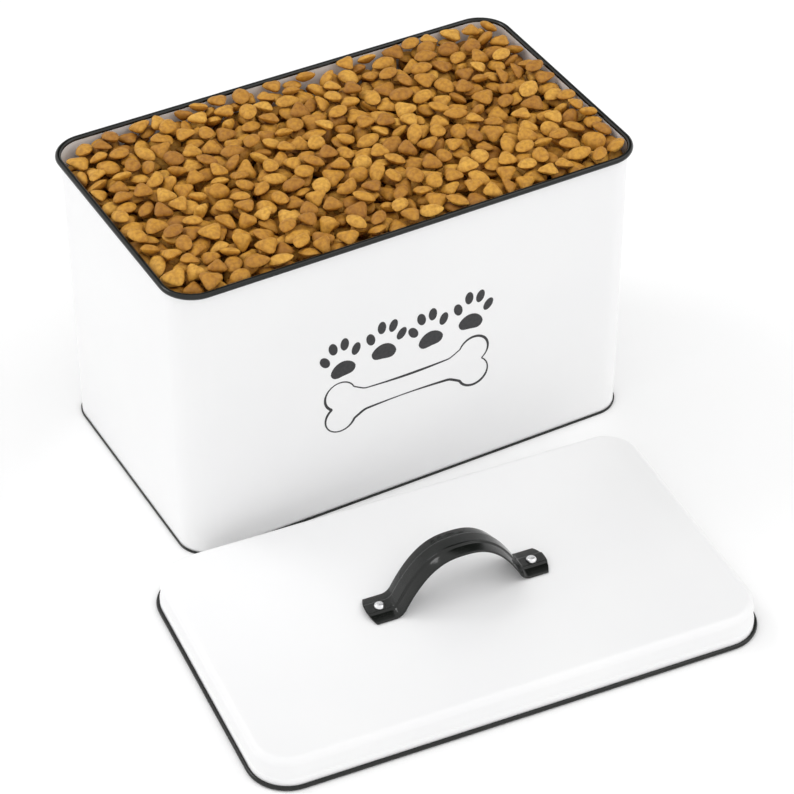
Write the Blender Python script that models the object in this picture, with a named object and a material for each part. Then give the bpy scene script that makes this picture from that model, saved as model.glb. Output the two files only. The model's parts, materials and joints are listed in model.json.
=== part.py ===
"""A pet food bin: a rounded rectangular sheet-steel tin full of kibble, with its slip lid lying in front of it.

Metres, +Z up. The bin's long side runs along X and its front faces -Y. The origin is on the table, under the
middle of the box that holds the bin and the lid. The bin hangs under the empty bin_frame and the lid under the
empty lid_frame, and both empties stand on the table at the middle of their outline.

An outline is (half length, half width, corner radius). A section is a list of (offset, height) points, where
the offset is measured outwards from the outline.
"""

import math

import bmesh
import bpy

# The bin, measured over its rim bead
RIM_LENGTH = 0.320
RIM_WIDTH = 0.186
RIM_CORNER = 0.022
BIN_HEIGHT = 0.202
RIM_BEAD_RADIUS = 0.0019

# The lid
LID_HEIGHT = 0.021
LID_EDGE_RADIUS = 0.005
LID_BEAD_RADIUS = 0.0014
LID_CLEARANCE = 0.0004
LID_JOGGLE = 0.0008
LID_JOGGLE_HEIGHT = 0.0062
LID_JOGGLE_RISE = 0.0012

# The lid's place on the table, from the middle of the bin, and its turn about Z
LID_SHIFT_X = -0.0385
LID_SHIFT_Y = -0.2075
LID_TURN = math.radians(-5.2)

# Sheet and clearances
SHEET = 0.0005
GAP = 0.0003
FLOOR_SHEET = 0.0006
HEM_SHEET = 0.0006
HEM_HEIGHT = 0.0019
FLOOR_RIM = 0.012
FLOOR_STEP = 0.0015
SEAM_WIDTH = 0.006
SEAM_PROUD = 0.0006

# The food: how far below the rim it lies at the wall, and how it rises from there to its middle
FOOD_BELOW_RIM = 0.0090
FOOD_CROWN = 0.0022
FOOD_CROWN_INSET = 0.056
FOOD_SHOULDER = 0.0013
FOOD_SHOULDER_INSET = 0.022
FOOD_WALL_GAP = 0.0008

# The handle, a pressed strap with a raised middle band
HANDLE_LENGTH = 0.118
HANDLE_WIDTH = 0.0232
HANDLE_END_BULGE = 0.003
HANDLE_SHEET = 0.0010
HANDLE_BAND = 0.0082
HANDLE_STEP = 0.0009
HANDLE_STEP_WIDTH = 0.0008
HANDLE_DROP = 0.0012
ARCH_SPAN = 0.0832
ARCH_RISE = 0.0345
ARCH_POWER = 2.5
ARCH_BEND = 0.0030
RIVET_PITCH = 0.100

# Rivets and their washers
SHANK_RADIUS = 0.0016
HEAD_RADIUS = 0.0033
HEAD_HEIGHT = 0.0018
TAIL_RADIUS = 0.0026
TAIL_HEIGHT = 0.0012
WASHER_RADIUS = 0.0045
WASHER_SHEET = 0.0008

# How finely curves are drawn
CORNER_STEPS = 8
CURL_STEPS = 14
WIRE_SIDES = 8
EDGE_STEPS = 5
TURNED_SIDES = 16
ARCH_STEPS = 22
BEND_STEPS = 4
SHARP = math.radians(35)

# Worked out from the sizes above
CURL_INSET = 2 * RIM_BEAD_RADIUS - SHEET
LID_CURL_INSET = 2 * LID_BEAD_RADIUS - SHEET
WALL_OUTLINE = (
    RIM_LENGTH / 2 - CURL_INSET,
    RIM_WIDTH / 2 - CURL_INSET,
    RIM_CORNER - CURL_INSET,
)
SKIRT_OVER_RIM = LID_CLEARANCE + SHEET + LID_JOGGLE
SKIRT_OUTLINE = (
    RIM_LENGTH / 2 + SKIRT_OVER_RIM,
    RIM_WIDTH / 2 + SKIRT_OVER_RIM,
    RIM_CORNER + SKIRT_OVER_RIM,
)
FLOOR_HEIGHT = HEM_HEIGHT + GAP
STRAP_TOP = LID_HEIGHT + GAP + HANDLE_STEP + HANDLE_DROP + HANDLE_SHEET
HOLE_RADIUS = SHANK_RADIUS + GAP
SMALLEST_CORNER = 0.001

WHITE = ("white_powder_coat", (0.86, 0.86, 0.85), 0.40, 0.0)
BLACK = ("black_enamel", (0.012, 0.010, 0.011), 0.22, 0.0)
STEEL = ("bare_steel", (0.55, 0.55, 0.56), 0.35, 1.0)
BRIGHT = ("bright_rivet", (0.75, 0.75, 0.76), 0.22, 1.0)
FOOD = ("kibble", (0.52, 0.28, 0.08), 0.80, 0.0)


def clear_scene():
    for thing in list(bpy.data.objects):
        bpy.data.objects.remove(thing)


def material(finish):
    """The Principled material of this finish, made once."""
    name, colour, roughness, metallic = finish
    if name in bpy.data.materials:
        return bpy.data.materials[name]
    made = bpy.data.materials.new(name)
    made.use_nodes = True
    shader = made.node_tree.nodes["Principled BSDF"]
    shader.inputs["Base Color"].default_value = (*colour, 1.0)
    shader.inputs["Roughness"].default_value = roughness
    shader.inputs["Metallic"].default_value = metallic
    return made


def empty(name, x, y, turn):
    made = bpy.data.objects.new(name, None)
    made.location = (x, y, 0)
    made.rotation_euler = (0, 0, turn)
    bpy.context.scene.collection.objects.link(made)
    return made


def part(name, shape, finish, parent):
    """Turns a bmesh into a named object under its parent empty."""
    bmesh.ops.recalc_face_normals(shape, faces=shape.faces)
    mesh = bpy.data.meshes.new(name)
    shape.to_mesh(mesh)
    shape.free()
    mesh.shade_smooth()
    mesh.set_sharp_from_angle(angle=SHARP)
    mesh.materials.append(material(finish))
    made = bpy.data.objects.new(name, mesh)
    made.parent = parent
    bpy.context.scene.collection.objects.link(made)
    return made


def helper(made):
    """Keeps a cutter or a tool solid out of the model."""
    made.hide_render = True
    made.display_type = "WIRE"
    return made


def combine(target, tool, operation):
    modifier = target.modifiers.new(tool.name, "BOOLEAN")
    modifier.operation = operation
    modifier.solver = "EXACT"
    modifier.object = tool


def outline_points(half_length, half_width, radius):
    """A rounded rectangle's points, anticlockwise from the middle of its +X side."""
    points = []
    for quarter, (side_x, side_y) in enumerate(((1, 1), (-1, 1), (-1, -1), (1, -1))):
        centre_x = side_x * (half_length - radius)
        centre_y = side_y * (half_width - radius)
        for step in range(CORNER_STEPS + 1):
            angle = (quarter + step / CORNER_STEPS) * math.pi / 2
            points.append(
                (centre_x + radius * math.cos(angle), centre_y + radius * math.sin(angle))
            )
    return points


def offset_outline(outline, offset):
    half_length, half_width, radius = outline
    return (
        half_length + offset,
        half_width + offset,
        max(radius + offset, SMALLEST_CORNER),
    )


def bridge(shape, loops, closed):
    """Walls between neighbouring loops. A closed run makes a ring, and an open one gets a cap at each end."""
    pairs = list(zip(loops, loops[1:], strict=False))
    if closed:
        pairs.append((loops[-1], loops[0]))
    else:
        shape.faces.new(loops[0])
        shape.faces.new(loops[-1])
    for first, second in pairs:
        for here in range(len(first)):
            after = (here + 1) % len(first)
            shape.faces.new((first[here], first[after], second[after], second[here]))


def swept(outline, section, closed):
    """A section carried round an outline."""
    shape = bmesh.new()
    loops = []
    for offset, height in section:
        points = outline_points(*offset_outline(outline, offset))
        loops.append([shape.verts.new((x, y, height)) for x, y in points])
    bridge(shape, loops, closed)
    return shape


def turned(section, closed, x, y):
    """A section of (radius, height) points turned about a vertical axis through x, y."""
    shape = bmesh.new()
    loops = []
    for radius, height in section:
        loop = []
        for side in range(TURNED_SIDES):
            angle = 2 * math.pi * side / TURNED_SIDES
            loop.append(
                shape.verts.new((x + radius * math.cos(angle), y + radius * math.sin(angle), height))
            )
        loops.append(loop)
    bridge(shape, loops, closed)
    return shape


def arc(centre, radius, start, end, steps):
    """Points on an arc in a section, from the start angle to the end angle, in degrees."""
    points = []
    for step in range(steps + 1):
        angle = math.radians(start + (end - start) * step / steps)
        points.append((centre[0] + radius * math.cos(angle), centre[1] + radius * math.sin(angle)))
    return points


def curl_section(radius, height, upwards):
    """The open curl of a rolled bead. It starts in line with its wall and ends just clear of it."""
    centre = (radius - SHEET, height)
    mouth = math.degrees(math.acos((centre[0] - GAP) / radius))
    end = mouth - 180 if upwards else 180 - mouth
    start = 180 if upwards else -180
    outside = arc(centre, radius, start, end, CURL_STEPS)
    inside = arc(centre, radius - SHEET, end, start, CURL_STEPS)
    return outside + inside


def wire_section(radius, height):
    """The round wire inside a bead."""
    whole = arc((radius - SHEET, height), radius - SHEET - GAP, 0, 360, WIRE_SIDES)
    return whole[:-1]


def box_shape(low, high):
    shape = bmesh.new()
    bmesh.ops.create_cube(shape, size=1)
    for vertex in shape.verts:
        for axis in range(3):
            vertex.co[axis] = high[axis] if vertex.co[axis] > 0 else low[axis]
    return shape


def make_wall(parent):
    """The tin's wall, with the lock seam that joins its two ends up the middle of the back."""
    bottom = HEM_SHEET + GAP
    top = BIN_HEIGHT - RIM_BEAD_RADIUS - GAP
    section = [(0, bottom), (0, top), (-SHEET, top), (-SHEET, bottom)]
    wall = part("bin_wall", swept(WALL_OUTLINE, section, True), WHITE, parent)
    back = WALL_OUTLINE[1]
    seam_low = HEM_HEIGHT + GAP
    seam_high = BIN_HEIGHT - 2 * RIM_BEAD_RADIUS - GAP
    low = (-SEAM_WIDTH / 2, back - SHEET / 2, seam_low)
    high = (SEAM_WIDTH / 2, back + SEAM_PROUD, seam_high)
    seam = helper(part("seam_tool", box_shape(low, high), WHITE, parent))
    combine(wall, seam, "UNION")


def make_rim(parent):
    height = BIN_HEIGHT - RIM_BEAD_RADIUS
    curl = curl_section(RIM_BEAD_RADIUS, height, True)
    wire = wire_section(RIM_BEAD_RADIUS, height)
    part("bin_rim_bead", swept(WALL_OUTLINE, curl, True), BLACK, parent)
    part("bin_rim_wire", swept(WALL_OUTLINE, wire, True), STEEL, parent)


def make_hem(parent):
    """The folded channel that grips the foot of the wall and stands on the table."""
    outer = GAP + HEM_SHEET
    inner = -SHEET - GAP - HEM_SHEET
    section = [
        (inner, 0),
        (outer, 0),
        (outer, HEM_HEIGHT),
        (GAP, HEM_HEIGHT),
        (GAP, HEM_SHEET),
        (-SHEET - GAP, HEM_SHEET),
        (-SHEET - GAP, HEM_HEIGHT),
        (inner, HEM_HEIGHT),
    ]
    part("bin_bottom_hem", swept(WALL_OUTLINE, section, True), BLACK, parent)


def make_floor(parent):
    """The floor panel, with a raised middle that stiffens it."""
    edge = -SHEET - GAP
    top = FLOOR_HEIGHT + FLOOR_SHEET
    step = -FLOOR_RIM - FLOOR_STEP
    section = [
        (step, top + FLOOR_STEP),
        (-FLOOR_RIM, top),
        (edge, top),
        (edge, FLOOR_HEIGHT),
        (-FLOOR_RIM, FLOOR_HEIGHT),
        (step, FLOOR_HEIGHT + FLOOR_STEP),
    ]
    part("bin_floor", swept(WALL_OUTLINE, section, False), WHITE, parent)


def make_food(parent):
    """The food as one gently crowned block."""
    edge = -SHEET - FOOD_WALL_GAP
    brim = BIN_HEIGHT - FOOD_BELOW_RIM
    bottom = FLOOR_HEIGHT + FLOOR_SHEET + FLOOR_STEP + GAP
    section = [
        (-FOOD_CROWN_INSET, brim + FOOD_CROWN),
        (-FOOD_SHOULDER_INSET, brim + FOOD_SHOULDER),
        (edge, brim),
        (edge, bottom),
    ]
    part("kibble", swept(WALL_OUTLINE, section, False), FOOD, parent)


def lid_profile(inset):
    """One face of the lid's sheet, from the flat top down the skirt. The inside face has an inset of SHEET."""
    side = -LID_JOGGLE - inset
    centre = (-LID_JOGGLE - LID_EDGE_RADIUS, LID_HEIGHT - LID_EDGE_RADIUS)
    foot = LID_BEAD_RADIUS + GAP
    rounded = arc(centre, LID_EDGE_RADIUS - inset, 90, 0, EDGE_STEPS)
    joggle = [(side, LID_JOGGLE_HEIGHT + LID_JOGGLE_RISE), (-inset, LID_JOGGLE_HEIGHT)]
    return [*rounded, *joggle, (-inset, foot)]


def make_lid(parent):
    outside = lid_profile(0)
    inside = lid_profile(SHEET)
    pan = part("lid_pan", swept(SKIRT_OUTLINE, outside + inside[::-1], False), WHITE, parent)
    curl = curl_section(LID_BEAD_RADIUS, LID_BEAD_RADIUS, False)
    wire = wire_section(LID_BEAD_RADIUS, LID_BEAD_RADIUS)
    part("lid_rim_bead", swept(SKIRT_OUTLINE, curl, True), BLACK, parent)
    part("lid_rim_wire", swept(SKIRT_OUTLINE, wire, True), STEEL, parent)
    return pan


def arch_height(x):
    return ARCH_RISE * (1 - abs(2 * x / ARCH_SPAN) ** ARCH_POWER)


def half_strap_line():
    """(x, height) points along the strap's left half, from the end of its foot to just before the crown."""
    spring = ARCH_SPAN / 2
    points = [(-HANDLE_LENGTH / 2, 0.0), (-RIVET_PITCH / 2 - 2 * SHANK_RADIUS, 0.0)]
    start = (-spring - ARCH_BEND, 0.0)
    end = (-spring + ARCH_BEND / 2, arch_height(-spring + ARCH_BEND / 2))
    for step in range(BEND_STEPS + 1):
        share = step / BEND_STEPS
        points.append(
            (
                (1 - share) ** 2 * start[0] - 2 * share * (1 - share) * spring + share**2 * end[0],
                share**2 * end[1],
            )
        )
    half = ARCH_STEPS // 2
    for step in range(1, half):
        x = end[0] * (1 - step / half)
        points.append((x, arch_height(x)))
    return points


def strap_line():
    left = half_strap_line()
    right = [(-x, height) for x, height in reversed(left)]
    return [*left, (0.0, ARCH_RISE), *right]


def strap_profile():
    """(across, below) points of the strap's section: over the top, then back along the underside."""
    edge = HANDLE_WIDTH / 2
    band = HANDLE_BAND / 2
    step = band + HANDLE_STEP_WIDTH
    half = [(edge, HANDLE_STEP + HANDLE_DROP), (step, HANDLE_STEP), (band, 0.0)]
    over = half + [(-across, below) for across, below in reversed(half)]
    under = [(across, below + HANDLE_SHEET) for across, below in reversed(over)]
    return over + under


def make_strap(parent):
    shape = bmesh.new()
    line = strap_line()
    loops = []
    for index, (x, height) in enumerate(line):
        before = line[max(index - 1, 0)]
        after = line[min(index + 1, len(line) - 1)]
        run = math.hypot(after[0] - before[0], after[1] - before[1])
        normal = (-(after[1] - before[1]) / run, (after[0] - before[0]) / run)
        at_end = index in (0, len(line) - 1)
        loop = []
        for across, below in strap_profile():
            bulge = HANDLE_END_BULGE * (2 * across / HANDLE_WIDTH) ** 2 if at_end else 0.0
            along = x - math.copysign(bulge, x) - normal[0] * below
            loop.append(shape.verts.new((along, across, STRAP_TOP + height - normal[1] * below)))
        loops.append(loop)
    bridge(shape, loops, False)
    return part("handle_strap", shape, BLACK, parent)


def rivet_section():
    """From the middle of the domed head down the shank to the hammered tail."""
    seat = STRAP_TOP + GAP
    tail_top = LID_HEIGHT - SHEET - GAP - WASHER_SHEET - GAP
    dome = []
    for step in range(1, EDGE_STEPS + 1):
        angle = math.pi / 2 * step / EDGE_STEPS
        dome.append((HEAD_RADIUS * math.sin(angle), seat + HEAD_HEIGHT * math.cos(angle)))
    return [
        *dome,
        (SHANK_RADIUS, seat),
        (SHANK_RADIUS, tail_top),
        (TAIL_RADIUS, tail_top),
        (TAIL_RADIUS, tail_top - TAIL_HEIGHT / 2),
        (TAIL_RADIUS / 2, tail_top - TAIL_HEIGHT),
    ]


def washer_section():
    top = LID_HEIGHT - SHEET - GAP
    return [
        (HOLE_RADIUS, top),
        (WASHER_RADIUS, top),
        (WASHER_RADIUS, top - WASHER_SHEET),
        (HOLE_RADIUS, top - WASHER_SHEET),
    ]


def make_handle(parent, pan):
    strap = make_strap(parent)
    for side, x in (("left", -RIVET_PITCH / 2), ("right", RIVET_PITCH / 2)):
        part(f"rivet_{side}", turned(rivet_section(), False, x, 0), BRIGHT, parent)
        part(f"rivet_washer_{side}", turned(washer_section(), True, x, 0), STEEL, parent)
        hole = [(HOLE_RADIUS, STRAP_TOP + HEAD_HEIGHT), (HOLE_RADIUS, 0.0)]
        cutter = helper(part(f"hole_tool_{side}", turned(hole, False, x, 0), STEEL, parent))
        combine(strap, cutter, "DIFFERENCE")
        combine(pan, cutter, "DIFFERENCE")


def reach(outline, turn):
    """How far a turned rounded rectangle reaches along X and along Y from its middle."""
    half_length, half_width, radius = outline
    straight_x = half_length - radius
    straight_y = half_width - radius
    cosine = abs(math.cos(turn))
    sine = abs(math.sin(turn))
    return (
        straight_x * cosine + straight_y * sine + radius,
        straight_x * sine + straight_y * cosine + radius,
    )


def places():
    """Where the bin and the lid stand, so that the box that holds both has its middle over the origin."""
    bin_x, bin_y = RIM_LENGTH / 2, RIM_WIDTH / 2
    lid_x, lid_y = reach(offset_outline(SKIRT_OUTLINE, LID_CURL_INSET), LID_TURN)
    low_x = min(-bin_x, LID_SHIFT_X - lid_x)
    high_x = max(bin_x, LID_SHIFT_X + lid_x)
    low_y = min(-bin_y, LID_SHIFT_Y - lid_y)
    high_y = max(bin_y, LID_SHIFT_Y + lid_y)
    middle_x = (low_x + high_x) / 2
    middle_y = (low_y + high_y) / 2
    return (-middle_x, -middle_y), (LID_SHIFT_X - middle_x, LID_SHIFT_Y - middle_y)


def main():
    clear_scene()
    (bin_x, bin_y), (lid_x, lid_y) = places()
    bin_frame = empty("bin_frame", bin_x, bin_y, 0.0)
    lid_frame = empty("lid_frame", lid_x, lid_y, LID_TURN)
    make_wall(bin_frame)
    make_rim(bin_frame)
    make_hem(bin_frame)
    make_floor(bin_frame)
    make_food(bin_frame)
    pan = make_lid(lid_frame)
    make_handle(lid_frame, pan)


main()
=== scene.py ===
"""The looks of the pet food bin: its coats and metals, its fine shapes, and the food that fills it.

Metres, +Z up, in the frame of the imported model. An outline is (half length, half width, corner radius), and
a section is a list of (offset outwards, height) points. Both are those of the CAD model, drawn more finely.
"""

import json
import math

import bmesh
import bpy
import numpy as np
from mathutils import Matrix, Vector


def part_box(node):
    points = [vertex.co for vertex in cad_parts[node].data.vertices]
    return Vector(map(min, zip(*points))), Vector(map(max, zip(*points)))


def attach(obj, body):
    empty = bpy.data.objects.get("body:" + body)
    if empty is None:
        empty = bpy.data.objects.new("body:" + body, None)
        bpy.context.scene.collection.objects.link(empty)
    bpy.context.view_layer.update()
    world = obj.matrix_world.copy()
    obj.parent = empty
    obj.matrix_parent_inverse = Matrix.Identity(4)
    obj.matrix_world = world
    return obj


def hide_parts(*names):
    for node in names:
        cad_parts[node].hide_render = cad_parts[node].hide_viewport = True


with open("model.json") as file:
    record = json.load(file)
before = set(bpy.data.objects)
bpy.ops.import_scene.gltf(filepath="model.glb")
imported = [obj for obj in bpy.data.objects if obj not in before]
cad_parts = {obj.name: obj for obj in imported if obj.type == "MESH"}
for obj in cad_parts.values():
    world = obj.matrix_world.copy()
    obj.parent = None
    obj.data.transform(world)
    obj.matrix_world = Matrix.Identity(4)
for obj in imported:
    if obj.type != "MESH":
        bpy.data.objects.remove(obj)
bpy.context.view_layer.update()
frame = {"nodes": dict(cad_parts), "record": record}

# The CAD model's sizes
RIM_LENGTH = 0.320
RIM_WIDTH = 0.186
RIM_CORNER = 0.022
BIN_HEIGHT = 0.202
RIM_BEAD_RADIUS = 0.0019
LID_HEIGHT = 0.021
LID_EDGE_RADIUS = 0.005
LID_BEAD_RADIUS = 0.0014
LID_OVER_RIM = 0.0017
LID_JOGGLE = 0.0008
LID_JOGGLE_HEIGHT = 0.0062
LID_JOGGLE_RISE = 0.0012
LID_TURN = math.radians(-5.2)
SHEET = 0.0005
GAP = 0.0003
HEM_SHEET = 0.0006
HEM_HEIGHT = 0.0019
SEAM_WIDTH = 0.006
SEAM_PROUD = 0.0006
HANDLE_LENGTH = 0.118
HANDLE_WIDTH = 0.0232
HANDLE_END_BULGE = 0.003
HANDLE_SHEET = 0.0010
HANDLE_BAND = 0.0082
HANDLE_STEP = 0.0009
HANDLE_STEP_WIDTH = 0.0008
HANDLE_DROP = 0.0012
HANDLE_FLANK = (1.0, 0.75, 0.5, 0.25, 0.0)
HANDLE_FLANK_CURVE = 1.4
ARCH_SPAN = 0.0832
ARCH_RISE = 0.0345
ARCH_POWER = 2.5
ARCH_BEND = 0.0030
RIVET_PITCH = 0.100
SHANK_RADIUS = 0.0016
HEAD_RADIUS = 0.0033
HEAD_HEIGHT = 0.0018
HEAD_FULLNESS = 0.9
TAIL_RADIUS = 0.0026
TAIL_HEIGHT = 0.0012
WASHER_SHEET = 0.0008

# How finely curves are drawn
CORNER_STEPS = 20
CURL_STEPS = 28
EDGE_STEPS = 10
JOGGLE_STEPS = 4
SOFT_STEPS = 3
TURNED_SIDES = 40
FOOT_STEPS = 8
BEND_STEPS = 8
ARCH_STEPS = 30
SHARP = math.radians(35)
SOFT_SHARE = 0.45

# The food: loose kibbles dropped on a bed, up to a level just over the rim
FOOD_SEED = 11
FOOD_BED = 0.176
FOOD_LEVEL = 0.2056
FOOD_HOLLOW = 0.0045
FOOD_CELL = 0.0008
BARRIER_HEIGHT = 1.0
BED_SHOULDER = ((-0.03, 0.0), (-0.006, 0.0), (-0.003, -0.003), (-0.0013, -0.006))
FOOD_KINDS = ("triangle", "almond", "oval", "bean")
FOOD_SHARES = (0.55, 0.22, 0.20, 0.03)
FOOD_TILT = 0.6
FOOD_HALF_THICKNESS = (0.0025, 0.0032)
FOOD_SIZES = (0.95, 1.24)
FOOD_FORMS = 260
FOOD_SPOKES = 20
FOOD_RINGS = 9
FINE_SPOKES = 64
FINE_RINGS = 40
FOOD_TRIES = 30
FILLING_TRIES = 12
FILLING_SPOTS = 12000
FOOD_MISSES = 60
FOOD_PIECES = 8

# The kibbles' outlines and the curves of their pillow
TRIANGLE_REACH = 0.0046
TRIANGLE_SHARPNESS = 2.3
ALMOND_RADII = (0.0076, 0.0050)
ALMOND_POINT = 0.35
BEAN_RADII = (0.0070, 0.0036)
BEAN_BEND = 45.0
BEAN_SHIFT = 0.0010
OVAL_RADII = (0.0064, 0.0050)
PILLOW_EDGE = 0.85
PILLOW_FACE = 0.35
LEAN = 25

# The most that each random lump may be: the size and phase of a twofold and of a threefold wobble, and the
# lean each way. The last place is for the half thickness, which is drawn on its own
FOOD_LUMPS = (0.07, 6.28, 0.05, 6.28, 1.2, 1.2, 0.0)

# Worked out from the sizes above
CURL_INSET = 2 * RIM_BEAD_RADIUS - SHEET
WALL_OUTLINE = (RIM_LENGTH / 2 - CURL_INSET, RIM_WIDTH / 2 - CURL_INSET, RIM_CORNER - CURL_INSET)
SKIRT_OUTLINE = (
    RIM_LENGTH / 2 + LID_OVER_RIM,
    RIM_WIDTH / 2 + LID_OVER_RIM,
    RIM_CORNER + LID_OVER_RIM,
)
STRAP_TOP = LID_HEIGHT + GAP + HANDLE_STEP + HANDLE_DROP + HANDLE_SHEET

# The print on the front: a row of paw prints over the outline of a bone. The heights are above the table
PRINT_PROUD = 0.00012
PRINT_SUNK = 0.00005
PRINT_X = -0.006
PAW_COUNT = 4
PAW_PITCH = 0.0305
PAW_Z = 0.1190
PAW_STAGGER = 0.0014
PAW_TURN = math.radians(8)
PAW_TOES = (
    (-0.0108, 0.0036, 25),
    (-0.0040, 0.0108, 8),
    (0.0040, 0.0108, -8),
    (0.0108, 0.0036, -25),
)
TOE_RADII = (0.0029, 0.0046)
PAD_RADII = (0.0086, 0.0066)
PAD_DROP = 0.0080
PAD_NARROWING = 0.15
PAD_DIP = 0.3
BONE_Z = 0.0815
BONE_LOBE = (0.0470, 0.0086)
BONE_LOBE_RADIUS = 0.0104
BONE_SHAFT = (0.0300, 0.0082)
BONE_LOBE_START = 158
BONE_WAIST = 0.12
BONE_SOFTNESS = 0.002
BONE_LINE = 0.0013
BONE_LINE_SWELL = 0.35
BONE_LINE_WAVES = (90, 160)
OUTLINE_STEPS = 24
SHAFT_STEPS = 6

# The camera
CAMERA_AZIMUTH = math.radians(-29.1)
CAMERA_ELEVATION = math.radians(39.2)
CAMERA_DISTANCE = 1.750
CAMERA_TARGET = Vector((-0.0048, -0.0060, 0.1))
CAMERA_LENS = 131.5
CAMERA_SENSOR = 36.0

# The studio: bright all round, with a dark flag high behind the bin for the gloss to mirror
STUDIO_BRIGHT = 1.08
STUDIO_DARK = 0.04
FLAG_DIRECTION = Vector((0.46, 0.60, 0.65)).normalized()
FLAG_INNER = math.radians(16)
FLAG_OUTER = math.radians(34)
KEY_PLACE = (-1.1, 1.3, 1.9)
KEY_TARGET = (0, 0, 0.05)
KEY_SIZE = (0.7, 0.7)
KEY_POWER = 7.0
FILL_PLACE = (1.6, -0.7, 2.2)
FILL_TARGET = (0.2, -0.1, 0.0)
FILL_SIZE = (1.6, 1.6)
FILL_POWER = 8.0
FLOOR_RADIUS = 6.0
FLOOR_SIDES = 96


def middle(node):
    low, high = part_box(node)
    return (low + high) / 2


def place(x, y, turn):
    return Matrix.Translation((x, y, 0)) @ Matrix.Rotation(turn, 4, "Z")


BIN_PLACE = place(middle("bin_rim_bead").x, middle("bin_rim_bead").y, 0.0)
LID_PLACE = place(middle("lid_rim_bead").x, middle("lid_rim_bead").y, LID_TURN)


def material(name, colour, roughness, metallic=0.0):
    """A material and its Principled shader."""
    made = bpy.data.materials.new(name)
    made.use_nodes = True
    shader = made.node_tree.nodes["Principled BSDF"]
    shader.inputs["Base Color"].default_value = (*colour, 1.0)
    shader.inputs["Roughness"].default_value = roughness
    shader.inputs["Metallic"].default_value = metallic
    return made, shader


def noise(made, scale, detail=2.0):
    """Noise in the piece's own metres, as a grey value."""
    nodes, links = made.node_tree.nodes, made.node_tree.links
    place_node = nodes.new("ShaderNodeTexCoord")
    texture = nodes.new("ShaderNodeTexNoise")
    texture.inputs["Scale"].default_value = scale
    texture.inputs["Detail"].default_value = detail
    links.new(place_node.outputs["Object"], texture.inputs["Vector"])
    return texture.outputs["Fac"]


def spread(made, value, low, high):
    """Carries a value from 0..1 to low..high."""
    node = made.node_tree.nodes.new("ShaderNodeMapRange")
    node.inputs["To Min"].default_value = low
    node.inputs["To Max"].default_value = high
    made.node_tree.links.new(value, node.inputs["Value"])
    return node.outputs["Result"]


def bump(made, shader, height, distance, strength=1.0):
    node = made.node_tree.nodes.new("ShaderNodeBump")
    node.inputs["Distance"].default_value = distance
    node.inputs["Strength"].default_value = strength
    made.node_tree.links.new(height, node.inputs["Height"])
    if shader.inputs["Normal"].is_linked:
        before = shader.inputs["Normal"].links[0].from_socket
        made.node_tree.links.new(before, node.inputs["Normal"])
    made.node_tree.links.new(node.outputs["Normal"], shader.inputs["Normal"])


def ramp(made, value, stops):
    """A colour for each value, from (position, colour) stops."""
    node = made.node_tree.nodes.new("ShaderNodeValToRGB")
    elements = node.color_ramp.elements
    while len(elements) < len(stops):
        elements.new(0.5)
    for element, (position, colour) in zip(elements, stops, strict=True):
        element.position = position
        element.color = (*colour, 1.0)
    made.node_tree.links.new(value, node.inputs["Fac"])
    return node.outputs["Color"]


def mixed(made, blend, share, first, second):
    node = made.node_tree.nodes.new("ShaderNodeMix")
    node.data_type = "RGBA"
    node.blend_type = blend
    node.inputs["Factor"].default_value = share
    made.node_tree.links.new(first, node.inputs["A"])
    made.node_tree.links.new(second, node.inputs["B"])
    return node.outputs["Result"]


def white_coat():
    """White powder coat: satin, with a faint orange peel."""
    made, shader = material("white_powder_coat", (0.86, 0.86, 0.86), 0.4)
    tone = ramp(made, noise(made, 9.0), [(0.3, (0.85, 0.85, 0.855)), (0.7, (0.875, 0.875, 0.875))])
    made.node_tree.links.new(tone, shader.inputs["Base Color"])
    made.node_tree.links.new(spread(made, noise(made, 60.0), 0.34, 0.46), shader.inputs["Roughness"])
    bump(made, shader, noise(made, 900.0, 3.0), 0.00002, 0.5)
    return made


def black_coat():
    """Black gloss enamel."""
    made, shader = material("black_enamel", (0.006, 0.006, 0.005), 0.15)
    shader.inputs["Specular IOR Level"].default_value = 0.4
    tone = ramp(made, noise(made, 120.0), [(0.3, (0.004, 0.005, 0.004)), (0.7, (0.008, 0.009, 0.008))])
    made.node_tree.links.new(tone, shader.inputs["Base Color"])
    made.node_tree.links.new(spread(made, noise(made, 200.0), 0.10, 0.18), shader.inputs["Roughness"])
    bump(made, shader, noise(made, 700.0, 2.0), 0.00002, 0.4)
    return made


def bright_metal():
    """The rivets' bright aluminium, with fine tool marks."""
    made, shader = material("bright_rivet", (0.78, 0.78, 0.79), 0.25, 1.0)
    made.node_tree.links.new(spread(made, noise(made, 2500.0), 0.18, 0.36), shader.inputs["Roughness"])
    bump(made, shader, noise(made, 1500.0, 3.0), 0.00003, 0.5)
    return made


def bare_steel():
    made, shader = material("bare_steel", (0.55, 0.55, 0.56), 0.35, 1.0)
    made.node_tree.links.new(spread(made, noise(made, 800.0), 0.28, 0.45), shader.inputs["Roughness"])
    bump(made, shader, noise(made, 1200.0, 3.0), 0.00002, 0.4)
    return made


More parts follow.
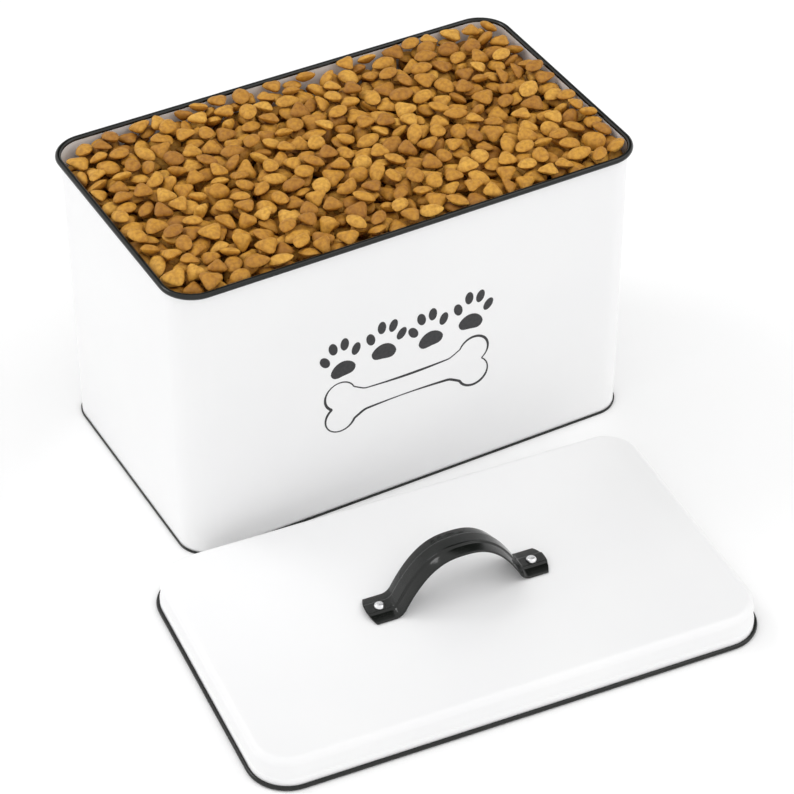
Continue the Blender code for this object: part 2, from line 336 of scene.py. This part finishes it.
def food_skin():
    """Baked kibble: each piece has its own tan, mottled and finely pitted, with painted shade darkening the
    gaps between them.
    """
    made, shader = material("kibble", (0.55, 0.28, 0.06), 0.6)
    geometry = made.node_tree.nodes.new("ShaderNodeNewGeometry")
    own = ramp(
        made,
        geometry.outputs["Random Per Island"],
        [
            (0.0, (0.42, 0.180, 0.014)),
            (0.35, (0.56, 0.265, 0.024)),
            (0.7, (0.64, 0.320, 0.034)),
            (1.0, (0.76, 0.415, 0.062)),
        ],
    )
    mottle = ramp(made, noise(made, 420.0, 4.0), [(0.32, (0.68, 0.60, 0.50)), (0.62, (1.0, 1.0, 1.0))])
    # Painted shade: ambient occlusion darkens the kibble's colour in the gaps between pieces and against the
    # bed, where shade falls
    gap_shade_node = made.node_tree.nodes.new("ShaderNodeAmbientOcclusion")
    gap_shade_node.samples = 8
    gap_shade_node.inputs["Distance"].default_value = 0.006
    painted_gap_shade = ramp(made, gap_shade_node.outputs["AO"], [(0.15, (0.30, 0.20, 0.16)), (0.62, (1.0, 1.0, 1.0))])
    colour = mixed(made, "MULTIPLY", 1.0, mixed(made, "MULTIPLY", 1.0, own, mottle), painted_gap_shade)
    made.node_tree.links.new(colour, shader.inputs["Base Color"])
    made.node_tree.links.new(spread(made, noise(made, 700.0), 0.5, 0.75), shader.inputs["Roughness"])
    bump(made, shader, noise(made, 1300.0, 4.0), 0.0004, 0.7)
    return made


def print_ink():
    """Dark grey screen ink, slightly uneven."""
    made, shader = material("print_ink", (0.02, 0.02, 0.022), 0.5)
    tones = [(0.3, (0.016, 0.016, 0.018)), (0.75, (0.035, 0.034, 0.036))]
    tone = ramp(made, noise(made, 500.0, 3.0), tones)
    made.node_tree.links.new(tone, shader.inputs["Base Color"])
    bump(made, shader, noise(made, 1500.0, 2.0), 0.00002, 0.4)
    return made


WHITE = white_coat()
INK = print_ink()
BLACK = black_coat()
BRIGHT = bright_metal()
STEEL = bare_steel()
FOOD = food_skin()
FINISHES = {
    "white_powder_coat": WHITE,
    "black_enamel": BLACK,
    "bright_rivet": BRIGHT,
    "bare_steel": STEEL,
    "kibble": FOOD,
}


def finish_cad_nodes():
    """Gives every CAD node the material of its slot."""
    for subpart in frame["record"]["subparts"]:
        mesh = frame["nodes"][subpart["node"]].data
        mesh.materials.clear()
        mesh.materials.append(FINISHES[subpart["material_slot"]])


def piece(name, shape, standing, body, slot, nodes):
    """Turns a bmesh into a piece: it stands at a place, rides on a body and stands for CAD nodes."""
    bmesh.ops.recalc_face_normals(shape, faces=shape.faces)
    mesh = bpy.data.meshes.new(name)
    shape.to_mesh(mesh)
    shape.free()
    mesh.transform(standing)
    return finished(name, mesh, body, slot, nodes)


def finished(name, mesh, body, slot, nodes):
    """Shades a mesh and makes it a piece."""
    mesh.shade_smooth()
    mesh.set_sharp_from_angle(angle=SHARP)
    mesh.materials.append(FINISHES[slot])
    made = bpy.data.objects.new(name, mesh)
    bpy.context.scene.collection.objects.link(made)
    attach(made, body)
    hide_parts(*nodes)
    return made


def arc(centre, radius, start, end, steps):
    """Points on an arc in a section, from the start angle to the end angle, in degrees."""
    points = []
    for step in range(steps + 1):
        angle = math.radians(start + (end - start) * step / steps)
        points.append((centre[0] + radius * math.cos(angle), centre[1] + radius * math.sin(angle)))
    return points


def softened(points, radius):
    """A closed section with each of its corners rounded."""
    soft = []
    for index, corner in enumerate(points):
        corner = Vector(corner)
        before = Vector(points[index - 1]) - corner
        after = Vector(points[(index + 1) % len(points)]) - corner
        reach = min(radius, before.length * SOFT_SHARE, after.length * SOFT_SHARE)
        start = corner + before.normalized() * reach
        end = corner + after.normalized() * reach
        for step in range(SOFT_STEPS + 1):
            share = step / SOFT_STEPS
            at = (1 - share) ** 2 * start + 2 * share * (1 - share) * corner + share**2 * end
            soft.append((at.x, at.y))
    return soft


def outline_points(half_length, half_width, radius):
    """A rounded rectangle's points, anticlockwise from the middle of its +X side."""
    points = []
    for quarter, (side_x, side_y) in enumerate(((1, 1), (-1, 1), (-1, -1), (1, -1))):
        centre = (side_x * (half_length - radius), side_y * (half_width - radius))
        points += arc(centre, radius, quarter * 90, quarter * 90 + 90, CORNER_STEPS)
    return points


def bridge(shape, loops, closed):
    """Walls between neighbouring loops. A closed run makes a ring, an open one gets a cap at each end."""
    pairs = list(zip(loops, loops[1:], strict=False))
    if closed:
        pairs.append((loops[-1], loops[0]))
    else:
        shape.faces.new(loops[0])
        shape.faces.new(loops[-1])
    for first, second in pairs:
        for here in range(len(first)):
            after = (here + 1) % len(first)
            shape.faces.new((first[here], first[after], second[after], second[here]))


def swept(outline, section, closed):
    """A section carried round an outline."""
    shape = bmesh.new()
    loops = []
    for offset, height in section:
        half_length, half_width, radius = (size + offset for size in outline)
        points = outline_points(half_length, half_width, radius)
        loops.append([shape.verts.new((x, y, height)) for x, y in points])
    bridge(shape, loops, closed)
    return shape


def turned(section, x):
    """A section of (radius, height) points turned about a vertical axis through x on the X axis."""
    shape = bmesh.new()
    loops = []
    for radius, height in section:
        round_it = arc((x, 0), radius, 0, 360, TURNED_SIDES)[:-1]
        loops.append([shape.verts.new((across, along, height)) for across, along in round_it])
    bridge(shape, loops, False)
    return shape


def curl_section(radius, height, upwards):
    """The open curl of a rolled bead. It starts in line with its wall and ends just clear of it."""
    centre = (radius - SHEET, height)
    mouth = math.degrees(math.acos((centre[0] - GAP) / radius))
    end = mouth - 180 if upwards else 180 - mouth
    start = 180 if upwards else -180
    outside = arc(centre, radius, start, end, CURL_STEPS)
    inside = arc(centre, radius - SHEET, end, start, CURL_STEPS)
    return outside + inside


def make_wall():
    bottom = HEM_SHEET + GAP
    top = BIN_HEIGHT - RIM_BEAD_RADIUS - GAP
    section = [(0, bottom), (0, top), (-SHEET, top), (-SHEET, bottom)]
    slot = "white_powder_coat"
    piece("wall", swept(WALL_OUTLINE, section, True), BIN_PLACE, "bin", slot, ["bin_wall"])
    piece("wall_seam", seam_shape(), BIN_PLACE, "bin", slot, ["bin_wall"])


def seam_shape():
    """The lock seam up the middle of the back: a flat strip with rounded long edges."""
    back = WALL_OUTLINE[1]
    half = SEAM_WIDTH / 2
    profile = softened(
        [
            (half, back - SHEET / 2),
            (half, back + SEAM_PROUD),
            (-half, back + SEAM_PROUD),
            (-half, back - SHEET / 2),
        ],
        SEAM_PROUD,
    )
    shape = bmesh.new()
    heights = (HEM_HEIGHT + GAP, BIN_HEIGHT - 2 * RIM_BEAD_RADIUS - GAP)
    bridge(shape, [[shape.verts.new((x, y, height)) for x, y in profile] for height in heights], False)
    return shape


def make_beads():
    rim = curl_section(RIM_BEAD_RADIUS, BIN_HEIGHT - RIM_BEAD_RADIUS, True)
    foot = curl_section(LID_BEAD_RADIUS, LID_BEAD_RADIUS, False)
    slot = "black_enamel"
    piece("rim_bead", swept(WALL_OUTLINE, rim, True), BIN_PLACE, "bin", slot, ["bin_rim_bead"])
    piece("lid_bead", swept(SKIRT_OUTLINE, foot, True), LID_PLACE, "lid", slot, ["lid_rim_bead"])


def make_hem():
    """The folded channel that grips the foot of the wall, with the soft edges of a fold."""
    outer = GAP + HEM_SHEET
    inner = -SHEET - GAP - HEM_SHEET
    section = [
        (inner, 0),
        (outer, 0),
        (outer, HEM_HEIGHT),
        (GAP, HEM_HEIGHT),
        (GAP, HEM_SHEET),
        (-SHEET - GAP, HEM_SHEET),
        (-SHEET - GAP, HEM_HEIGHT),
        (inner, HEM_HEIGHT),
    ]
    shape = swept(WALL_OUTLINE, softened(section, HEM_SHEET * SOFT_SHARE), True)
    piece("bottom_hem", shape, BIN_PLACE, "bin", "black_enamel", ["bin_bottom_hem"])


def lid_profile(inset):
    """One face of the lid's sheet, from its top down the skirt. The inside face has an inset of SHEET."""
    side = -LID_JOGGLE - inset
    centre = (-LID_JOGGLE - LID_EDGE_RADIUS, LID_HEIGHT - LID_EDGE_RADIUS)
    foot = LID_BEAD_RADIUS + GAP
    rounded = arc(centre, LID_EDGE_RADIUS - inset, 90, 0, EDGE_STEPS)
    joggle = []
    for step in range(JOGGLE_STEPS + 1):
        share = step / JOGGLE_STEPS
        ease = share * share * (3 - 2 * share)
        joggle.append((side + LID_JOGGLE * ease, LID_JOGGLE_HEIGHT + LID_JOGGLE_RISE * (1 - share)))
    return [*rounded, *joggle, (-inset, foot)]


def make_lid():
    section = lid_profile(0) + lid_profile(SHEET)[::-1]
    shape = swept(SKIRT_OUTLINE, section, False)
    piece("lid_pan_sheet", shape, LID_PLACE, "lid", "white_powder_coat", ["lid_pan"])


def arch_height(x):
    return ARCH_RISE * (1 - abs(2 * x / ARCH_SPAN) ** ARCH_POWER)


def half_strap_line():
    """(x, height) points along the strap's left half, from the end of its foot to just before the crown."""
    spring = ARCH_SPAN / 2
    start = (-spring - ARCH_BEND, 0.0)
    end = (-spring + ARCH_BEND / 2, arch_height(-spring + ARCH_BEND / 2))
    foot = HANDLE_LENGTH / 2
    points = []
    for step in range(FOOT_STEPS):
        points.append((-foot + (foot + start[0]) * step / FOOT_STEPS, 0.0))
    for step in range(BEND_STEPS + 1):
        share = step / BEND_STEPS
        across = (1 - share) ** 2 * start[0] - 2 * share * (1 - share) * spring + share**2 * end[0]
        points.append((across, share**2 * end[1]))
    for step in range(1, ARCH_STEPS):
        x = end[0] * (1 - step / ARCH_STEPS)
        points.append((x, arch_height(x)))
    return points


def strap_line():
    left = half_strap_line()
    right = [(-x, height) for x, height in reversed(left)]
    return [*left, (0.0, ARCH_RISE), *right]


def strap_profile():
    """(across, below) points of the strap's section, with soft creases and rolled edges."""
    edge = HANDLE_WIDTH / 2
    band = HANDLE_BAND / 2
    step = band + HANDLE_STEP_WIDTH
    half = []
    for share in HANDLE_FLANK:
        below = HANDLE_STEP + HANDLE_DROP * share**HANDLE_FLANK_CURVE
        half.append((step + (edge - step) * share, below))
    half += [(band, 0.0), (band / 2, 0.0)]
    over = half + [(-across, below) for across, below in reversed(half)]
    under = [(across, below + HANDLE_SHEET) for across, below in reversed(over)]
    return softened(over + under, HANDLE_SHEET * SOFT_SHARE)


def strap_shape():
    shape = bmesh.new()
    line = strap_line()
    profile = strap_profile()
    loops = []
    for index, (x, height) in enumerate(line):
        before = line[max(index - 1, 0)]
        after = line[min(index + 1, len(line) - 1)]
        run = math.hypot(after[0] - before[0], after[1] - before[1])
        normal = (-(after[1] - before[1]) / run, (after[0] - before[0]) / run)
        outermost = max(abs(x) - RIVET_PITCH / 2, 0.0) / (HANDLE_LENGTH / 2 - RIVET_PITCH / 2)
        loop = []
        for across, below in profile:
            bulge = HANDLE_END_BULGE * (2 * across / HANDLE_WIDTH) ** 2 * outermost
            along = x - math.copysign(bulge, x) - normal[0] * below
            loop.append(shape.verts.new((along, across, STRAP_TOP + height - normal[1] * below)))
        loops.append(loop)
    bridge(shape, loops, False)
    return shape


def rivet_section():
    """From the middle of the domed head down the shank to the hammered tail."""
    seat = STRAP_TOP + GAP
    tail_top = LID_HEIGHT - SHEET - GAP - WASHER_SHEET - GAP
    dome = []
    for step in range(1, EDGE_STEPS + 1):
        angle = math.pi / 2 * step / EDGE_STEPS
        radius = HEAD_RADIUS * math.sin(angle) ** HEAD_FULLNESS
        dome.append((radius, seat + HEAD_HEIGHT * math.cos(angle)))
    return [
        *dome,
        (SHANK_RADIUS, seat),
        (SHANK_RADIUS, tail_top),
        (TAIL_RADIUS, tail_top),
        (TAIL_RADIUS, tail_top - TAIL_HEIGHT / 2),
        (TAIL_RADIUS / 2, tail_top - TAIL_HEIGHT),
    ]


def make_handle():
    piece("handle", strap_shape(), LID_PLACE, "lid", "black_enamel", ["handle_strap"])
    for side, x in (("left", -RIVET_PITCH / 2), ("right", RIVET_PITCH / 2)):
        shape = turned(rivet_section(), x)
        piece(f"rivet_head_{side}", shape, LID_PLACE, "lid", "bright_rivet", [f"rivet_{side}"])


def raised(shape, loop_points, standing):
    """A thin plate of ink on the front wall, from its outline in (x, z)."""
    front = WALL_OUTLINE[1]
    loops = []
    for painted_gap_shade in (-front + PRINT_SUNK, -front - PRINT_PROUD):
        loops.append([shape.verts.new(standing @ Vector((x, painted_gap_shade, z))) for x, z in loop_points])
    bridge(shape, loops, False)


def upright(x, z, turn):
    """A place on the front wall, turned in its plane."""
    return Matrix.Translation((x, 0, z)) @ Matrix.Rotation(turn, 4, "Y")


def oval(radius_x, radius_z):
    angles = [2 * math.pi * step / OUTLINE_STEPS for step in range(OUTLINE_STEPS)]
    return [(radius_x * math.cos(angle), radius_z * math.sin(angle)) for angle in angles]


def paw_pad():
    """The big pad: round below, with a shallow dip in its foot, and narrow towards the toes."""
    points = []
    for x, z in oval(*PAD_RADII):
        narrow = 1 - PAD_NARROWING * max(z, 0.0) / PAD_RADII[1]
        dip = 0.0
        if z < 0:
            dip = PAD_DIP * PAD_RADII[1] * math.cos(x / PAD_RADII[0] * math.pi / 2) ** 2
        points.append((x * narrow, z + dip - PAD_DROP))
    return points


def paws_shape():
    shape = bmesh.new()
    for number in range(PAW_COUNT):
        side = 1 if number % 2 else -1
        x = PRINT_X + (number - (PAW_COUNT - 1) / 2) * PAW_PITCH
        paw = upright(x, PAW_Z + side * PAW_STAGGER, side * PAW_TURN)
        raised(shape, paw_pad(), paw)
        for toe_x, toe_z, lean in PAW_TOES:
            raised(shape, oval(*TOE_RADII), paw @ upright(toe_x, toe_z, -math.radians(lean)))
    return shape


def bone_quarter():
    """The bone's outline from the middle of its shaft's top edge to the notch in its right end."""
    reach, rise = BONE_LOBE
    notch = -math.degrees(math.asin(rise / BONE_LOBE_RADIUS))
    lobe = arc(BONE_LOBE, BONE_LOBE_RADIUS, BONE_LOBE_START, notch, OUTLINE_STEPS)
    shaft = []
    for step in range(SHAFT_STEPS + 1):
        share = step / SHAFT_STEPS
        narrow = 1 - BONE_WAIST * math.cos(share * math.pi / 2)
        shaft.append((BONE_SHAFT[0] * share, BONE_SHAFT[1] * narrow))
    return shaft + lobe


def bone_shape():
    """The bone's outline as a raised line of ink, that swells and thins as it goes round."""
    quarter = bone_quarter()
    right = quarter + [(x, -z) for x, z in reversed(quarter[:-1])]
    left = [(-x, -z) for x, z in right[1:-1]]
    path = [Vector(point) for point in softened(right + left, BONE_SOFTNESS)]
    shape = bmesh.new()
    edges = []
    for index, here in enumerate(path):
        run = path[(index + 1) % len(path)] - path[index - 1]
        across = Vector((-run.y, run.x)).normalized()
        wave = math.sin(here.x * BONE_LINE_WAVES[0] + here.y * BONE_LINE_WAVES[1])
        width = BONE_LINE * (1 + BONE_LINE_SWELL * wave)
        edges.append((here + across * width / 2, here - across * width / 2))
    front = WALL_OUTLINE[1]
    loops = []
    for side, painted_gap_shade in ((0, PRINT_SUNK), (0, -PRINT_PROUD), (1, -PRINT_PROUD), (1, PRINT_SUNK)):
        loop = [edge[side] for edge in edges]
        loops.append([shape.verts.new((PRINT_X + at.x, painted_gap_shade - front, BONE_Z + at.y)) for at in loop])
    bridge(shape, loops, True)
    return shape


def make_print():
    for name, shape in (("print_paws", paws_shape()), ("print_bone", bone_shape())):
        made = piece(name, shape, BIN_PLACE, "bin", "black_enamel", [])
        made.data.materials[0] = INK


def rounded_corners(angles, sides, sharpness):
    """For each angle, the distance to the edge of a polygon whose corners are rounded."""
    total = 0.0
    for side in range(sides):
        facing = np.cos(angles - 2 * np.pi * side / sides)
        total = total + np.maximum(facing, 0.0) ** sharpness
    return total ** (-1 / sharpness)


def kibble_outline(kind, angles):
    """The outline of a kind of kibble, in metres."""
    if kind == "triangle":
        reach = rounded_corners(angles, 3, TRIANGLE_SHARPNESS) * TRIANGLE_REACH
        return reach * np.cos(angles), reach * np.sin(angles)
    if kind == "almond":
        pointed = np.abs(np.sin(angles)) ** ALMOND_POINT
        return ALMOND_RADII[0] * np.cos(angles), ALMOND_RADII[1] * np.sin(angles) * pointed
    if kind == "bean":
        across = BEAN_RADII[0] * np.cos(angles)
        return across, BEAN_RADII[1] * np.sin(angles) + BEAN_BEND * across**2 - BEAN_SHIFT
    return OVAL_RADII[0] * np.cos(angles), OVAL_RADII[1] * np.sin(angles)


def kibble_surface(kind, lumps, spokes, rings):
    """Points on a pillow whose two faces swell out between its outline's soft edges, ring by ring."""
    angles = np.linspace(0, 2 * np.pi, spokes, endpoint=False)
    tilts = np.linspace(0, np.pi, rings + 2)[:, None]
    edge_x, edge_y = kibble_outline(kind, angles)
    wobble = 1 + lumps[0] * np.sin(2 * angles + lumps[1]) + lumps[2] * np.sin(3 * angles + lumps[3])
    share = np.sin(tilts) ** PILLOW_EDGE * wobble
    swell = np.cos(tilts) * np.abs(np.cos(tilts)) ** PILLOW_FACE
    across = share * edge_x
    along = share * edge_y
    lean = 1 + LEAN * lumps[4] * across + LEAN * lumps[5] * along
    return np.stack([across, along, lumps[6] * swell * lean], axis=-1)


def turning(draw):
    """A random turn: any heading, and mostly a gentle tilt."""
    tilt = abs(draw.normal(0.0, FOOD_TILT))
    return np.array(
        Matrix.Rotation(draw.uniform(0, 2 * math.pi), 3, "Z")
        @ Matrix.Rotation(tilt, 3, "X")
        @ Matrix.Rotation(draw.uniform(0, 2 * math.pi), 3, "Z")
    )


def kibble_form(draw):
    """One kibble as it lies: its mesh points, and how low and high it reaches over each cell it covers."""
    kind = draw.choice(FOOD_KINDS, p=FOOD_SHARES)
    lumps = draw.uniform(0, 1, len(FOOD_LUMPS)) * FOOD_LUMPS
    lumps[6] = draw.uniform(*FOOD_HALF_THICKNESS)
    size = draw.uniform(*FOOD_SIZES)
    turn = turning(draw)
    fine = (kibble_surface(kind, lumps, FINE_SPOKES, FINE_RINGS).reshape(-1, 3) * size) @ turn.T
    corner = fine.min(axis=0)[:2]
    cells = np.floor((fine[:, :2] - corner) / FOOD_CELL).astype(int)
    shape = tuple(cells.max(axis=0) + 1)
    low = np.full(shape, np.inf)
    high = np.full(shape, -np.inf)
    np.minimum.at(low, tuple(cells.T), fine[:, 2])
    np.maximum.at(high, tuple(cells.T), fine[:, 2])
    points = kibble_surface(kind, lumps, FOOD_SPOKES, FOOD_RINGS)
    loose = np.concatenate([points[0, :1], points[1:-1].reshape(-1, 3), points[-1, :1]]) * size
    return {"points": loose @ turn.T, "corner": corner, "low": low, "high": high}


def kibble_faces():
    """The faces of one kibble, as corner numbers: a fan at each pole, and rings of quads between them."""
    faces = []
    last = 1 + FOOD_RINGS * FOOD_SPOKES
    for spoke in range(FOOD_SPOKES):
        after = (spoke + 1) % FOOD_SPOKES
        faces.append((0, 1 + spoke, 1 + after))
        for ring in range(FOOD_RINGS - 1):
            here = 1 + ring * FOOD_SPOKES
            below = here + FOOD_SPOKES
            faces.append((here + spoke, below + spoke, below + after, here + after))
        faces.append((last, last - FOOD_SPOKES + after, last - FOOD_SPOKES + spoke))
    return faces


def empty_bin():
    """The ground's height for each cell over the bin, and the first cell's place. The wall is a barrier."""
    half_length, half_width, radius = (size - SHEET - FOOD_CELL for size in WALL_OUTLINE)
    across = np.arange(-half_length, half_length, FOOD_CELL)
    along = np.arange(-half_width, half_width, FOOD_CELL)
    past_x = np.maximum(np.abs(across) - (half_length - radius), 0.0)[:, None]
    past_y = np.maximum(np.abs(along) - (half_width - radius), 0.0)[None, :]
    inside = np.hypot(past_x, past_y) <= radius
    return np.where(inside, FOOD_BED, BARRIER_HEIGHT), (-half_length, -half_width)


def rest_height(ground, form, row, column):
    """How high a form's middle comes to rest on the ground under it."""
    rows, columns = form["low"].shape
    under = ground[row : row + rows, column : column + columns]
    return (under - form["low"]).max()


def spot(draw, last, width):
    """A random start of a span of this width. A span that would reach through a wall lies against it."""
    return min(max(draw.integers(-width // 2, last + width // 2), 0), last)


def lay(form, spot_found, ground, origin):
    """Lays a form down at a spot, raises the ground by it, and returns its points."""
    height, row, column = spot_found
    rows, columns = form["low"].shape
    under = ground[row : row + rows, column : column + columns]
    np.maximum(under, height + form["high"], out=under)
    across = origin[0] + row * FOOD_CELL - form["corner"][0]
    along = origin[1] + column * FOOD_CELL - form["corner"][1]
    return form["points"] + (across, along, height)


def fill_hollows(draw, forms, ground, origin):
    """Lays one more kibble over each place that is still well under the level, wherever one fits."""
    placed = []
    hollows = draw.permutation(np.argwhere(ground < FOOD_LEVEL - FOOD_HOLLOW))
    for cell in hollows[:FILLING_SPOTS]:
        if ground[tuple(cell)] > FOOD_LEVEL - FOOD_HOLLOW:
            continue
        best = None
        for index in draw.integers(len(forms), size=FILLING_TRIES):
            form = forms[index]
            size = np.array(form["low"].shape)
            row, column = np.clip(cell - draw.integers(0, size), 0, np.array(ground.shape) - size)
            height = rest_height(ground, form, row, column)
            if height + form["high"].max() < FOOD_LEVEL and (best is None or height < best[0]):
                best = (height, row, column, index)
        if best is not None:
            placed.append(lay(forms[best[3]], best[:3], ground, origin))
    return placed


def drop_food(draw, forms):
    """Drops kibbles one by one, each into the lowest of a few random spots, and then fills the hollows."""
    ground, origin = empty_bin()
    tops = [form["high"].max() for form in forms]
    placed = []
    misses = 0
    while misses < FOOD_MISSES:
        best = None
        for _ in range(FOOD_TRIES):
            index = draw.integers(len(forms))
            rows, columns = forms[index]["low"].shape
            row = spot(draw, ground.shape[0] - rows, rows)
            column = spot(draw, ground.shape[1] - columns, columns)
            height = rest_height(ground, forms[index], row, column)
            if height + tops[index] < FOOD_LEVEL and (best is None or height < best[0]):
                best = (height, index, row, column)
        if best is None:
            misses += 1
            continue
        height, index, row, column = best
        placed.append(lay(forms[index], (height, row, column), ground, origin))
    return placed + fill_hollows(draw, forms, ground, origin)


def make_food():
    """A bed of food, and the loose kibbles that lie on it up to just over the rim, in a few pieces."""
    draw = np.random.default_rng(FOOD_SEED)
    forms = [kibble_form(draw) for _ in range(FOOD_FORMS)]
    placed = drop_food(draw, forms)
    placed.sort(key=lambda points: points[0, 0])
    faces = kibble_faces()
    share = math.ceil(len(placed) / FOOD_PIECES)
    for number in range(FOOD_PIECES):
        group = placed[number * share : (number + 1) * share]
        count = len(group[0])
        corners = []
        for index in range(len(group)):
            corners += [tuple(corner + count * index for corner in face) for face in faces]
        mesh = bpy.data.meshes.new(f"kibbles_{number + 1}")
        mesh.from_pydata(np.concatenate(group).tolist(), [], corners)
        mesh.transform(BIN_PLACE)
        finished(f"kibbles_{number + 1}", mesh, "bin", "kibble", ["kibble"])
    section = [(inset, FOOD_BED + rise) for inset, rise in BED_SHOULDER]
    section.append((BED_SHOULDER[-1][0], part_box("kibble")[0].z))
    piece("kibble_bed", swept(WALL_OUTLINE, section, False), BIN_PLACE, "bin", "kibble", ["kibble"])


def make_floor():
    made, shader = material("floor_white", (0.97, 0.97, 0.97), 0.6)
    tone = ramp(made, noise(made, 3.0), [(0.3, (0.965, 0.965, 0.965)), (0.7, (0.975, 0.975, 0.975))])
    made.node_tree.links.new(tone, shader.inputs["Base Color"])
    shader.inputs["Specular IOR Level"].default_value = 0.0
    shape = bmesh.new()
    bmesh.ops.create_circle(shape, cap_ends=True, segments=FLOOR_SIDES, radius=FLOOR_RADIUS)
    mesh = bpy.data.meshes.new("floor")
    shape.to_mesh(mesh)
    shape.free()
    mesh.materials.append(made)
    floor = bpy.data.objects.new("floor", mesh)
    bpy.context.scene.collection.objects.link(floor)


def aim(thing, place, target):
    thing.location = place
    thing.rotation_euler = (Vector(target) - Vector(place)).to_track_quat("-Z", "Y").to_euler()


def make_light(name, place, target, size, power):
    data = bpy.data.lights.new(name, "AREA")
    data.shape = "RECTANGLE"
    data.size, data.size_y = size
    data.energy = power
    light = bpy.data.objects.new(name, data)
    bpy.context.scene.collection.objects.link(light)
    aim(light, place, target)


def make_studio():
    """A bright world all round, darker inside the flag."""
    world = bpy.data.worlds.new("studio")
    bpy.context.scene.world = world
    world.use_nodes = True
    background = world.node_tree.nodes["Background"]
    background.inputs["Strength"].default_value = 1.0
    nodes, links = world.node_tree.nodes, world.node_tree.links
    direction = nodes.new("ShaderNodeTexCoord")
    facing = nodes.new("ShaderNodeVectorMath")
    facing.operation = "DOT_PRODUCT"
    facing.inputs[1].default_value = FLAG_DIRECTION
    links.new(direction.outputs["Generated"], facing.inputs[0])
    shade = nodes.new("ShaderNodeMapRange")
    shade.interpolation_type = "SMOOTHSTEP"
    shade.inputs["From Min"].default_value = math.cos(FLAG_OUTER)
    shade.inputs["From Max"].default_value = math.cos(FLAG_INNER)
    shade.inputs["To Min"].default_value = STUDIO_BRIGHT
    shade.inputs["To Max"].default_value = STUDIO_DARK
    links.new(facing.outputs["Value"], shade.inputs["Value"])
    links.new(shade.outputs["Result"], background.inputs["Color"])


def make_camera():
    data = bpy.data.cameras.new("camera")
    data.lens = CAMERA_LENS
    data.sensor_width = CAMERA_SENSOR
    camera = bpy.data.objects.new("camera", data)
    bpy.context.scene.collection.objects.link(camera)
    back = Vector(
        (
            math.sin(CAMERA_AZIMUTH) * math.cos(CAMERA_ELEVATION),
            -math.cos(CAMERA_AZIMUTH) * math.cos(CAMERA_ELEVATION),
            math.sin(CAMERA_ELEVATION),
        )
    )
    aim(camera, CAMERA_TARGET + back * CAMERA_DISTANCE, CAMERA_TARGET)
    bpy.context.scene.camera = camera


def main():
    bpy.context.scene.view_settings.view_transform = "Standard"
    finish_cad_nodes()
    make_wall()
    make_beads()
    make_hem()
    make_lid()
    make_handle()
    make_print()
    make_food()
    make_floor()
    make_studio()
    make_light("key", KEY_PLACE, KEY_TARGET, KEY_SIZE, KEY_POWER)
    make_light("fill", FILL_PLACE, FILL_TARGET, FILL_SIZE, FILL_POWER)
    make_camera()


main()
